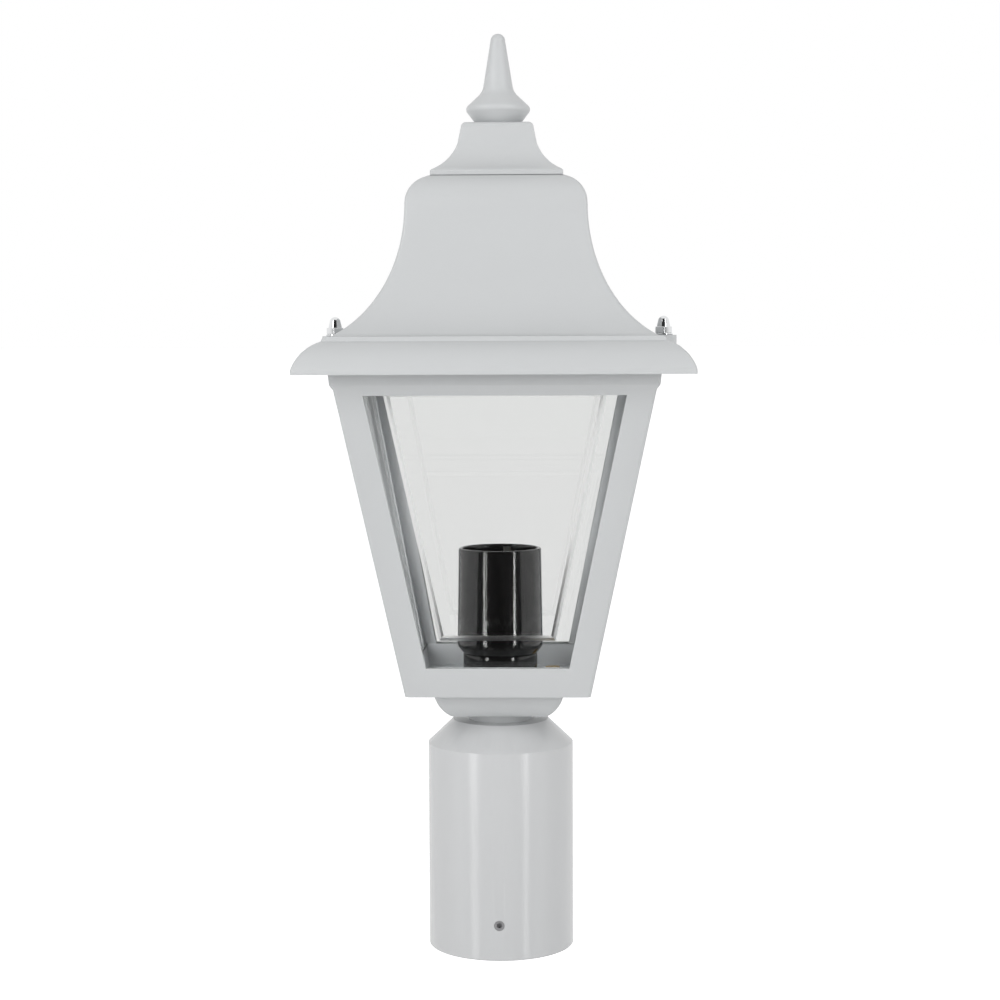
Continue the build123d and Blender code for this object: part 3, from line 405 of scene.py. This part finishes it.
def grooved_pane(node, glazing, glass, ground):
    """A pane built up again from its node's eight outermost corners, with a narrow mitred V groove, ground.
    Its face is made longer at the top while the groove is inset, so that the groove's top run ends up nearer
    to the edge than the other runs. The face is then put back."""
    low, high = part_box(node)
    middle = (low + high) / 2
    facing = 1 if abs(middle.y) > abs(middle.x) else 0
    across = 1 - facing
    end_band = 2 * MM
    ends = [vert.co for vert in NODES[node].data.vertices
            if not low.z + end_band < vert.co.z < high.z - end_band]
    deselect()
    bpy.ops.mesh.primitive_cube_add(size=2)
    pane = bpy.context.object
    pane.name = f"{node}_grooved"
    edit(pane)
    mesh = bmesh.from_edit_mesh(pane.data)
    for vert in mesh.verts:
        near = [co for co in ends if (co.z > middle.z) == (vert.co.z > 0)
                and (co[across] > 0) == (vert.co[across] > 0)]
        outer = (vert.co[facing] > 0) == (middle[facing] > 0)
        vert.co = (max if outer else min)(near, key=lambda co: abs(co[facing]))
    mesh.normal_update()
    out = Vector((middle.x, middle.y, 0)).normalized()
    face = max(mesh.faces, key=lambda item: item.normal.dot(out))
    tops = [vert for vert in face.verts if vert.co.z > middle.z]
    places = [vert.co.copy() for vert in tops]
    for vert in tops:
        foot = next(edge.other_vert(vert).co for edge in vert.link_edges
                    if edge in face.edges[:] and edge.other_vert(vert) not in tops)
        vert.co += (vert.co - foot).normalized() * (glazing.groove_in - glazing.groove_top)
    bpy.ops.mesh.select_mode(type="FACE")
    bpy.ops.mesh.select_all(action="DESELECT")
    face.select_set(True)
    mesh.normal_update()
    bmesh.update_edit_mesh(pane.data)
    bpy.ops.mesh.inset(thickness=glazing.groove_in)
    bpy.ops.mesh.inset(thickness=glazing.groove_half, depth=-glazing.groove_depth)
    bpy.ops.mesh.inset(thickness=glazing.groove_half, depth=glazing.groove_depth)
    mesh = bmesh.from_edit_mesh(pane.data)
    longest = sorted(mesh.verts, key=lambda vert: vert.co.z)[-2:]
    for vert in longest:
        vert.co = min(places, key=lambda place: abs(place[across] - vert.co[across]))
    bmesh.update_edit_mesh(pane.data)
    bpy.ops.mesh.select_mode(type="EDGE")
    pick_edges(outer_edge)
    bpy.ops.mesh.bevel(offset=glazing.arris, segments=1, affect="EDGES", clamp_overlap=True)
    deselect()
    finish_piece(pane, glass, body_of(node), replaced=(node,), smooth=1.0)
    pane.data.materials.append(ground)
    front = max(pane.data.polygons, key=lambda item: item.normal.dot(out)).normal.copy()
    for item in pane.data.polygons:
        if GROOVE_SLOPE[0] < item.normal.dot(front) < GROOVE_SLOPE[1]:
            item.material_index = 1


def wound(name, profile, pitch, low, high, sides, closed):
    """A piece wound upwards from one pitch of its profile, (radius, height) in metres. It is wound further
    than it is long and cut level at both ends. A closed one is capped there."""
    deselect()
    bpy.ops.mesh.primitive_circle_add(vertices=len(profile), radius=profile[0][0], fill_type="NOTHING")
    piece = bpy.context.object
    piece.name = name
    edit(piece)
    mesh = bmesh.from_edit_mesh(piece.data)
    mesh.verts.ensure_lookup_table()
    for vert, (radius, height) in zip(mesh.verts, profile):
        vert.co = (radius, 0, height)
    last = [edge for edge in mesh.edges if {v.index for v in edge.verts} == {0, len(profile) - 1}]
    bmesh.ops.delete(mesh, geom=last, context="EDGES")
    bmesh.update_edit_mesh(piece.data)
    bpy.ops.object.mode_set(mode="OBJECT")
    turns = math.ceil((high - low) / pitch) + 2
    screw = piece.modifiers.new("wind", "SCREW")
    screw.axis, screw.angle, screw.screw_offset, screw.iterations = "Z", 2 * math.pi, pitch, turns
    screw.steps = screw.render_steps = sides
    screw.use_merge_vertices, screw.merge_threshold = True, 1e-7
    bpy.ops.object.modifier_apply(modifier=screw.name)
    edit(piece)
    bpy.ops.transform.translate(value=(0, 0, low - 1.5 * pitch))
    bpy.ops.mesh.remove_doubles(threshold=WOUND_WELD)
    for height, upper in ((low, False), (high, True)):
        bpy.ops.mesh.select_all(action="SELECT")
        bpy.ops.mesh.bisect(plane_co=(0, 0, height), plane_no=(0, 0, 1), use_fill=closed,
                            clear_inner=not upper, clear_outer=upper)
    bpy.ops.mesh.select_all(action="SELECT")
    bpy.ops.mesh.normals_make_consistent(inside=False)
    deselect()
    return piece


def threaded(name, radius, pitch, low, high, sides=32):
    """A bar with a V thread."""
    root = radius - THREAD_DEPTH * pitch
    profile = ((root, 0.0), (radius, CREST_START * pitch), (radius, CREST_END * pitch), (root, pitch))
    return wound(name, profile, pitch, low, high, sides, True)


def bore(piece, radius, low, high):
    """Cuts an upright round hole through the middle of a piece."""
    deselect()
    bpy.ops.mesh.primitive_cylinder_add(vertices=48, radius=radius, depth=high - low,
                                        location=(0, 0, (low + high) / 2))
    cutter = bpy.context.object
    deselect()
    bpy.context.view_layer.objects.active = piece
    hole = piece.modifiers.new("hole", "BOOLEAN")
    hole.operation, hole.solver, hole.object = "DIFFERENCE", "EXACT", cutter
    bpy.ops.object.modifier_apply(modifier=hole.name)
    bpy.data.objects.remove(cutter)


def move(piece, x):
    """Moves a piece's mesh sideways and leaves its object at the origin."""
    edit(piece)
    bpy.ops.transform.translate(value=(x, 0, 0))
    deselect()


def join(name, pieces):
    """Makes several loose pieces one."""
    deselect()
    for piece in pieces:
        piece.select_set(True)
    bpy.context.view_layer.objects.active = pieces[0]
    bpy.ops.object.join()
    pieces[0].name = name
    return pieces[0]


def paint(material, *names):
    """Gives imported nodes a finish."""
    for name in names:
        node = NODES[name]
        node.data.materials.clear()
        node.data.materials.append(material)


# ---------------------------------------------------------------- the lantern's groups of pieces
class LANTERN_OT_castings(bpy.types.Operator):
    """Round and paint the castings."""

    bl_idname = "lantern.castings"
    bl_label = "Castings"

    def execute(self, context):
        coat = context.scene.lantern_coat
        satin, gloss = satin_powder_coat(coat), gloss_powder_coat(coat)
        rounded("roof_shell", satin, coat.roof_corner, coat.roof_edge)
        rounded("crown_cap", satin, coat.crown_corner, coat.edge)
        rounded("frame_cage", satin, coat.post_corner, coat.edge)
        rounded("base_boss", satin, coat.boss_corner, coat.edge)
        rounded("post_sleeve", gloss, edge=coat.edge)
        paint(satin, "finial")
        return {"FINISHED"}


class LANTERN_OT_glazing(bpy.types.Operator):
    """Finish the panes, the strips behind them and the gasket."""

    bl_idname = "lantern.glazing"
    bl_label = "Glazing"

    def execute(self, context):
        glazing = context.scene.lantern_glazing
        glass = clear_glass(glazing, "polished_glass", 0.0)
        ground = clear_glass(glazing, "ground_glass", glazing.groove_matt)
        for node in ("glass_front", "glass_back", "glass_left", "glass_right"):
            grooved_pane(node, glazing, glass, ground)
        # the corner strips' pale finish carries painted light for the light they catch behind the panes
        paint(dull_spring_strip(), *[n for n in NODES if n.startswith("corner_strip")])
        paint(moulded_rubber(), "roof_gasket")
        return {"FINISHED"}


class LANTERN_OT_lampholder(bpy.types.Operator):
    """Model and finish the lampholder, and the tray that it stands in."""

    bl_idname = "lantern.lampholder"
    bl_label = "Lampholder"

    def execute(self, context):
        holder = context.scene.lantern_holder
        resin = moulded_phenolic(holder)
        rounded("holder_skirt", resin, edge=holder.rim)
        rounded("holder_base", resin, edge=holder.rim)
        rounded("contact_carrier", urea_moulding(), edge=holder.carrier_edge)
        rounded("lamp_tray", rolled_zinc_sheet(), holder.tray_bend, holder.tray_edge)
        paint(turned_brass(), "centre_contact", "holder_terminals", "earth_screw", "earth_washer")
        paint(zinc_plate(), "skirt_lock")
        low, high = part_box("lamp_shell")
        crest, pitch = high.x, holder.lamp_pitch
        middle, swing = crest - holder.lamp_wave / 2, holder.lamp_wave / 2
        steps = 10
        profile = [(middle - swing * math.cos(2 * math.pi * i / steps), pitch * i / steps)
                   for i in range(steps + 1)]
        shell = wound("lamp_shell_rolled", profile, pitch, low.z, high.z, 64, False)
        wall = shell.modifiers.new("wall", "SOLIDIFY")
        wall.thickness, wall.offset = holder.shell_wall, -1.0
        bpy.context.view_layer.objects.active = shell
        bpy.ops.object.modifier_apply(modifier=wall.name)
        finish_piece(shell, drawn_nickel_shell(), "head", replaced=("lamp_shell",))
        return {"FINISHED"}


class LANTERN_OT_fasteners(bpy.types.Operator):
    """Wind the threads and finish the nuts, washers and screws."""

    bl_idname = "lantern.fasteners"
    bl_label = "Fasteners"

    def execute(self, context):
        sizes = context.scene.lantern_fasteners
        nickel, zinc = nickel_plate(), zinc_plate()
        for node in ("acorn_nut_left", "acorn_nut_right", "nut_washers"):
            rounded(node, nickel, edge=sizes.nut_edge)
        for node in ("rod_lower_nut", "rod_upper_nut", "stud_locknuts", "finial_nut"):
            rounded(node, zinc, edge=sizes.nut_edge)
        paint(zinc, "rod_lower_washer", "rod_upper_washer", "finial_washer")
        paint(blackened_steel(), *[n for n in NODES if n.startswith("grub_screw")])
        low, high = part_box("roof_studs")
        radius = high.y
        studs = []
        for side in (-1, 1):
            stud = threaded(f"stud_{side}", radius, sizes.stud_pitch, low.z, high.z)
            move(stud, side * (high.x - radius))
            studs.append(stud)
        finish_piece(join("roof_studs_threaded", studs), nickel, "head", replaced=("roof_studs",))
        low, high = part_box("hollow_rod")
        rod = threaded("hollow_rod_threaded", high.x, sizes.rod_pitch, low.z, high.z, 48)
        bore(rod, sizes.rod_bore, low.z - MM, high.z + MM)
        finish_piece(rod, zinc, "head", replaced=("hollow_rod",))
        low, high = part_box("finial_stud")
        stud = threaded("finial_stud_threaded", high.x, sizes.rod_pitch, low.z, high.z)
        finish_piece(stud, zinc, "roof", replaced=("finial_stud",))
        return {"FINISHED"}


# ---------------------------------------------------------------- studio
class LANTERN_OT_stage(bpy.types.Operator):
    """Set the floor, the lamps, the surroundings and the camera."""

    bl_idname = "lantern.stage"
    bl_label = "Stage"

    def execute(self, context):
        studio = context.scene.lantern_studio
        deselect()
        bpy.ops.mesh.primitive_grid_add(x_subdivisions=4, y_subdivisions=4, size=60)
        floor = context.object
        floor.name = "studio_floor"
        floor.data.materials.append(white_floor(studio.paper))
        soft_lamp("strip_right", 41, 0.19, 8.6)
        soft_lamp("strip_left", -41, 0.32, 6.6)
        surroundings(context.scene, studio.fill)
        data = bpy.data.cameras.new("view_camera")
        data.sensor_width = 36.0
        data.lens = studio.lens
        data.clip_start, data.clip_end = 0.05, 100
        camera = bpy.data.objects.new("view_camera", data)
        context.scene.collection.objects.link(camera)
        camera.matrix_world = (
            Matrix.Translation(Vector(studio.camera_place))
            @ Matrix.Rotation(studio.turn, 4, "Z")
            @ Matrix.Rotation(math.pi / 2 - studio.pitch, 4, "X")
            @ Matrix.Rotation(studio.roll, 4, "Z"))
        context.scene.camera = camera
        context.scene.view_settings.view_transform = "Standard"
        return {"FINISHED"}


def mirror_only(tree, path):
    """Whether a ray comes by mirrors and panes alone, with no matt surface on its way to the camera."""
    either = add(tree, "ShaderNodeMath", (-700, 600), {"operation": "MAXIMUM"},
                 links={0: path.outputs["Is Glossy Ray"], 1: path.outputs["Is Transmission Ray"]})
    direct = add(tree, "ShaderNodeMath", (-700, 800), {"operation": "LESS_THAN"}, {1: 0.5},
                 {0: path.outputs["Diffuse Depth"]})
    return add(tree, "ShaderNodeMath", (-500, 700), {"operation": "MULTIPLY"},
               links={0: either.outputs["Value"], 1: direct.outputs["Value"]})


def white_floor(glow):
    """Matt white paper, lit to white for the camera, that keeps the lantern's shadow. A mirror or a pane
    sees the white room instead, so that upright gloss isn't cut by the floor's edge."""
    material, tree, output = new_material("white_paper")
    place = add(tree, "ShaderNodeTexCoord", (-700, 0))
    fibre = add(tree, "ShaderNodeTexNoise", (-500, 0), values={"Scale": cell(3), "Detail": 3.0},
                links={"Vector": place.outputs["Object"]})
    tone = add(tree, "ShaderNodeMapRange", (-300, 0), values={"To Min": 0.89, "To Max": 0.91},
               links={"Value": fibre.outputs["Fac"]})
    path = add(tree, "ShaderNodeLightPath", (-500, 500))
    lit = add(tree, "ShaderNodeMath", (-300, 200), {"operation": "MULTIPLY"}, {1: glow},
              {0: path.outputs["Is Camera Ray"]})
    paper = add(tree, "ShaderNodeBsdfPrincipled", (0, 0),
                values={"Roughness": 0.9, "Emission Color": (1.0, 1.0, 1.0, 1.0)},
                links={"Base Color": tone.outputs["Result"], "Emission Strength": lit.outputs["Value"]})
    open_air = add(tree, "ShaderNodeBsdfTransparent", (0, -400))
    mirrored = mirror_only(tree, path)
    mix = add(tree, "ShaderNodeMixShader", (500, 0),
              links={0: mirrored.outputs["Value"], 1: paper.outputs["BSDF"], 2: open_air.outputs["BSDF"]})
    tree.links.new(mix.outputs["Shader"], output.inputs["Surface"])
    return material


def soft_lamp(name, azimuth, width, radiance):
    """An upright soft lamp that faces the lantern. azimuth counts in degrees from the camera to the right."""
    angle = math.radians(azimuth)
    data = bpy.data.lights.new(name, "AREA")
    data.shape, data.size, data.size_y = "RECTANGLE", width, LAMP_HEIGHT
    data.energy = radiance * math.pi * width * LAMP_HEIGHT
    lamp = bpy.data.objects.new(name, data)
    lamp.location = (LAMP_AWAY * math.sin(angle), -LAMP_AWAY * math.cos(angle), LAMP_MIDDLE)
    lamp.rotation_euler = (math.pi / 2, 0, angle)
    bpy.context.scene.collection.objects.link(lamp)


def surroundings(scene, fill):
    """A white room. The camera sees it white; metal, gloss and glass see it white with a darker front."""
    world = scene.world or bpy.data.worlds.new("room")
    scene.world = world
    world.use_nodes = True
    tree = world.node_tree
    tree.nodes.clear()
    place = add(tree, "ShaderNodeTexCoord", (-900, 0))
    axes = add(tree, "ShaderNodeSeparateXYZ", (-700, 0), links={"Vector": place.outputs["Generated"]})
    front = add(tree, "ShaderNodeMapRange", (-500, 0), {"interpolation_type": "SMOOTHSTEP"},
                {"From Min": DARK_TO, "From Max": WHITE_FROM, "To Min": DARK_LEVEL, "To Max": 1.0},
                {"Value": axes.outputs["Y"]})
    path = add(tree, "ShaderNodeLightPath", (-900, 400))
    mirrored = mirror_only(tree, path)
    room = add(tree, "ShaderNodeMix", (-300, 0), {"data_type": "FLOAT"}, {"A": fill},
               {"Factor": mirrored.outputs["Value"], "B": front.outputs["Result"]})
    level = add(tree, "ShaderNodeMix", (-100, 0), {"data_type": "FLOAT"}, {"B": 1.0},
                {"Factor": path.outputs["Is Camera Ray"], "A": room.outputs["Result"]})
    light = add(tree, "ShaderNodeBackground", (100, 0), values={"Color": (1.0, 1.0, 1.0, 1.0)},
                links={"Strength": level.outputs["Result"]})
    output = add(tree, "ShaderNodeOutputWorld", (300, 0))
    tree.links.new(light.outputs["Background"], output.inputs["Surface"])


class LANTERN_PT_panel(bpy.types.Panel):
    """Lists the lantern's steps in the sidebar."""

    bl_idname = "LANTERN_PT_panel"
    bl_label = "Post Top Lantern"
    bl_space_type = "VIEW_3D"
    bl_region_type = "UI"
    bl_category = "Lantern"

    def draw(self, context):
        for step in STEPS:
            self.layout.operator(step.bl_idname)


STEPS = (LANTERN_OT_stage, LANTERN_OT_castings, LANTERN_OT_glazing, LANTERN_OT_lampholder,
         LANTERN_OT_fasteners)
GROUPS = {"lantern_coat": LanternCoat, "lantern_glazing": LanternGlazing, "lantern_holder": LanternHolder,
          "lantern_fasteners": LanternFasteners, "lantern_studio": LanternStudio}
CLASSES = (*GROUPS.values(), *STEPS, LANTERN_PT_panel)


def register():
    for item in CLASSES:
        bpy.utils.register_class(item)
    for name, group in GROUPS.items():
        setattr(bpy.types.Scene, name, bpy.props.PointerProperty(type=group))


def unregister():
    for name in GROUPS:
        delattr(bpy.types.Scene, name)
    for item in reversed(CLASSES):
        bpy.utils.unregister_class(item)


def main():
    register()
    bpy.ops.lantern.stage()
    bpy.ops.lantern.castings()
    bpy.ops.lantern.glazing()
    bpy.ops.lantern.lampholder()
    bpy.ops.lantern.fasteners()


if __name__ == "__main__":
    main()
